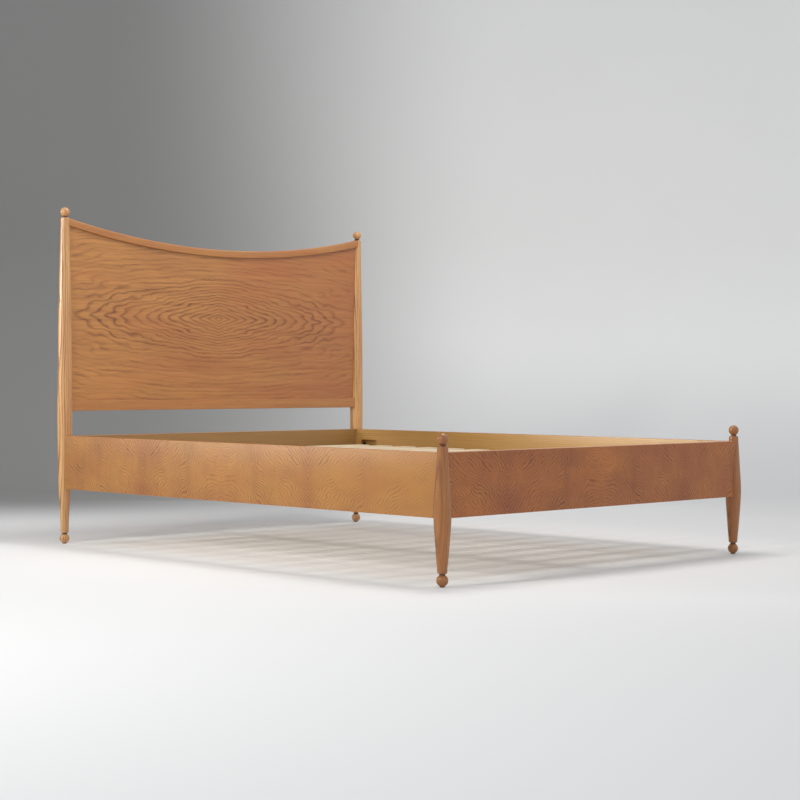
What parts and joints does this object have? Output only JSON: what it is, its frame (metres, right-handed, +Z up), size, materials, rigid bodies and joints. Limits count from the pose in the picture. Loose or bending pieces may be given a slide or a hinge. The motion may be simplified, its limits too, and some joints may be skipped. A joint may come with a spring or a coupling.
{
  "type": "queen-size bed frame",
  "caption": "Timber bed with turned posts, ball finials and ball feet, a framed headboard with a dished top, deep flat rails and lift-out slats.",
  "frame": {"origin": "on the floor under the middle of the bed", "axes": "+Z up, +Y from the foot towards the headboard, +X to the right of someone at the foot who looks at the headboard"},
  "size_m": [1.679, 2.147, 1.347],
  "materials": {
    "ash_veneer": "honey-stained figured ash veneer, satin lacquer",
    "turned_ash": "honey-stained solid ash, turned and lacquered satin",
    "slat_timber": "planed pale softwood, unlacquered",
    "cleat_timber": "planed timber, unlacquered",
    "webbing": "woven cotton webbing",
    "zinc_steel": "zinc-plated steel",
    "black_steel": "blackened steel",
    "nylon": "moulded nylon"
  },
  "bodies": {
    "bed_frame": {"headboard_panel": "ash_veneer", "headboard_top_rail": "ash_veneer", "headboard_bottom_rail": "ash_veneer", "head_cross_rail": "ash_veneer", "foot_rail": "ash_veneer", "side_rail_left": "ash_veneer", "side_rail_right": "ash_veneer", "foot_post_left": "turned_ash", "foot_post_right": "turned_ash", "head_post_left": "turned_ash", "head_post_right": "turned_ash", "finial_foot_left": "turned_ash", "finial_foot_right": "turned_ash", "finial_head_left": "turned_ash", "finial_head_right": "turned_ash", "ball_foot_foot_left": "turned_ash", "ball_foot_foot_right": "turned_ash", "ball_foot_head_left": "turned_ash", "ball_foot_head_right": "turned_ash", "side_cleat_left": "cleat_timber", "side_cleat_right": "cleat_timber", "centre_beam": "cleat_timber", "bed_bolt_foot_left": "black_steel", "washer_foot_left": "zinc_steel", "insert_nut_foot_left": "zinc_steel", "glide_foot_left": "nylon", "bracket_screw_foot_left": "zinc_steel", "bed_bolt_foot_right": "black_steel", "washer_foot_right": "zinc_steel", "insert_nut_foot_right": "zinc_steel", "glide_foot_right": "nylon", "bracket_screw_foot_right": "zinc_steel", "bed_bolt_head_left": "black_steel", "washer_head_left": "zinc_steel", "insert_nut_head_left": "zinc_steel", "glide_head_left": "nylon", "bracket_screw_head_left": "zinc_steel", "bed_bolt_head_right": "black_steel", "washer_head_right": "zinc_steel", "insert_nut_head_right": "zinc_steel", "glide_head_right": "nylon", "bracket_screw_head_right": "zinc_steel", "beam_bracket_foot": "zinc_steel", "beam_bracket_head": "zinc_steel"},
    "slat_deck": {"slat_01": "slat_timber", "slat_02": "slat_timber", "slat_03": "slat_timber", "slat_04": "slat_timber", "slat_05": "slat_timber", "slat_06": "slat_timber", "slat_07": "slat_timber", "slat_08": "slat_timber", "slat_09": "slat_timber", "slat_10": "slat_timber", "slat_11": "slat_timber", "slat_12": "slat_timber", "slat_13": "slat_timber", "slat_14": "slat_timber", "slat_strap_left": "webbing", "slat_strap_right": "webbing"}
  },
  "joints": [
    {"name": "slat_deck_lift", "type": "slide", "parent": "bed_frame", "child": "slat_deck", "axis": [0, 0, 1], "range_m": [0, 0.15]}
  ]
}
